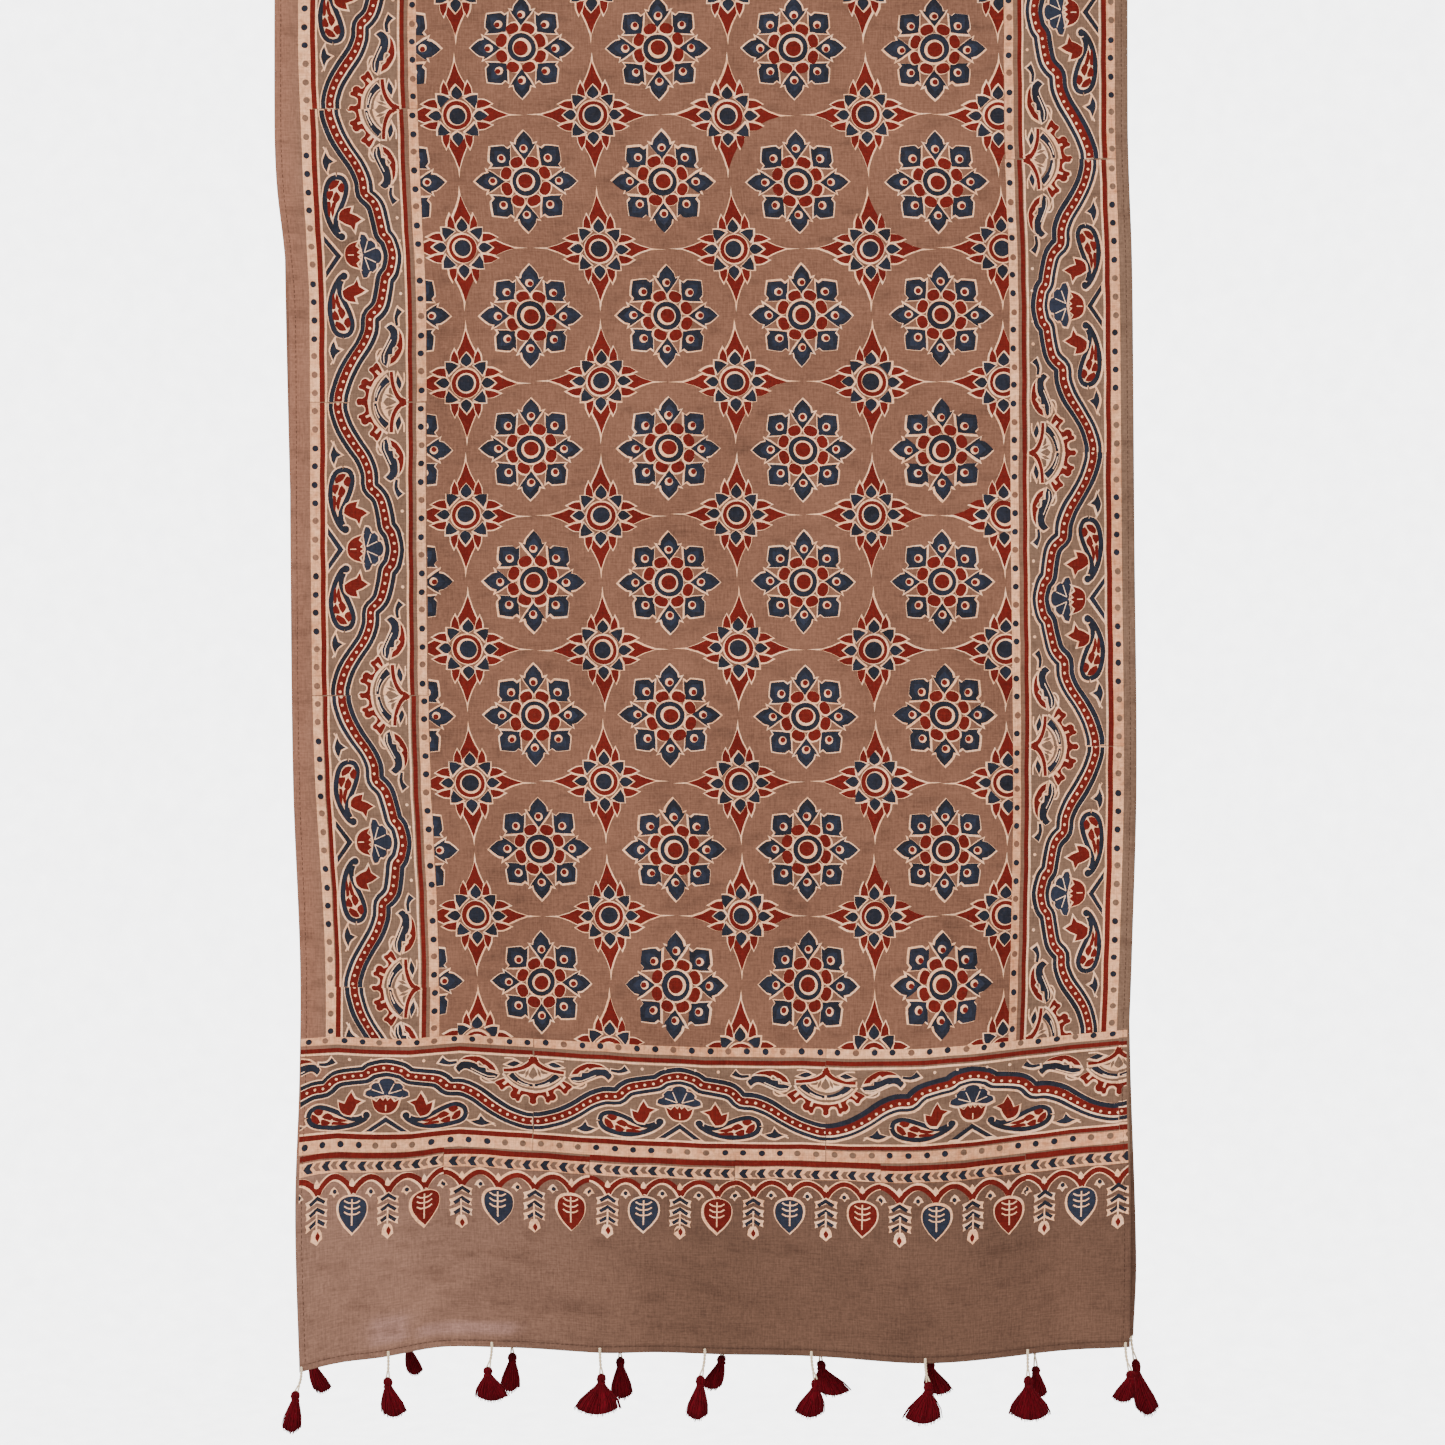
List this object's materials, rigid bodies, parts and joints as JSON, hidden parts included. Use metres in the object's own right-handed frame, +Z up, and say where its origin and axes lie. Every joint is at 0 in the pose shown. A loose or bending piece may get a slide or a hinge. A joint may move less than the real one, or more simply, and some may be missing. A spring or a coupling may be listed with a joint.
{
  "type": "block-printed cotton stole",
  "caption": "Ajrakh block-printed cotton stole hung doubled over a line, with medallion and star field, vine borders, scalloped end borders and maroon thread tassels along its end hems.",
  "frame": {"origin": "middle of the underside of the fold at the top, where the cloth bears on the line it hangs over", "axes": "+X to the right seen from the printed front, along the fold; +Y through the cloth from the front fall to the back fall; +Z up, along the falls"},
  "size_m": [0.5848, 0.044, 1.0682],
  "materials": {
    "printed_cotton": "matt plain weave",
    "cream_thread": "matt twisted thread",
    "maroon_yarn": "soft loose yarn",
    "print_cream": "undyed resist ground",
    "print_red": "madder print",
    "print_indigo": "indigo print"
  },
  "bodies": {
    "root": {"cloth": "printed_cotton", "tassel_front_1": "maroon_yarn", "tassel_front_2": "maroon_yarn", "tassel_front_3": "maroon_yarn", "tassel_front_4": "maroon_yarn", "tassel_front_5": "maroon_yarn", "tassel_front_6": "maroon_yarn", "tassel_front_7": "maroon_yarn", "tassel_front_8": "maroon_yarn", "tassel_front_9": "maroon_yarn", "tassel_back_1": "maroon_yarn", "tassel_back_2": "maroon_yarn", "tassel_back_3": "maroon_yarn", "tassel_back_4": "maroon_yarn", "tassel_back_5": "maroon_yarn", "tassel_back_6": "maroon_yarn", "tassel_back_7": "maroon_yarn", "tassel_back_8": "maroon_yarn", "tassel_back_9": "maroon_yarn", "thread_front_1": "cream_thread", "thread_front_2": "cream_thread", "thread_front_3": "cream_thread", "thread_front_4": "cream_thread", "thread_front_5": "cream_thread", "thread_front_6": "cream_thread", "thread_front_7": "cream_thread", "thread_front_8": "cream_thread", "thread_front_9": "cream_thread", "thread_back_1": "cream_thread", "thread_back_2": "cream_thread", "thread_back_3": "cream_thread", "thread_back_4": "cream_thread", "thread_back_5": "cream_thread", "thread_back_6": "cream_thread", "thread_back_7": "cream_thread", "thread_back_8": "cream_thread", "thread_back_9": "cream_thread"}
  },
  "joints": []
}
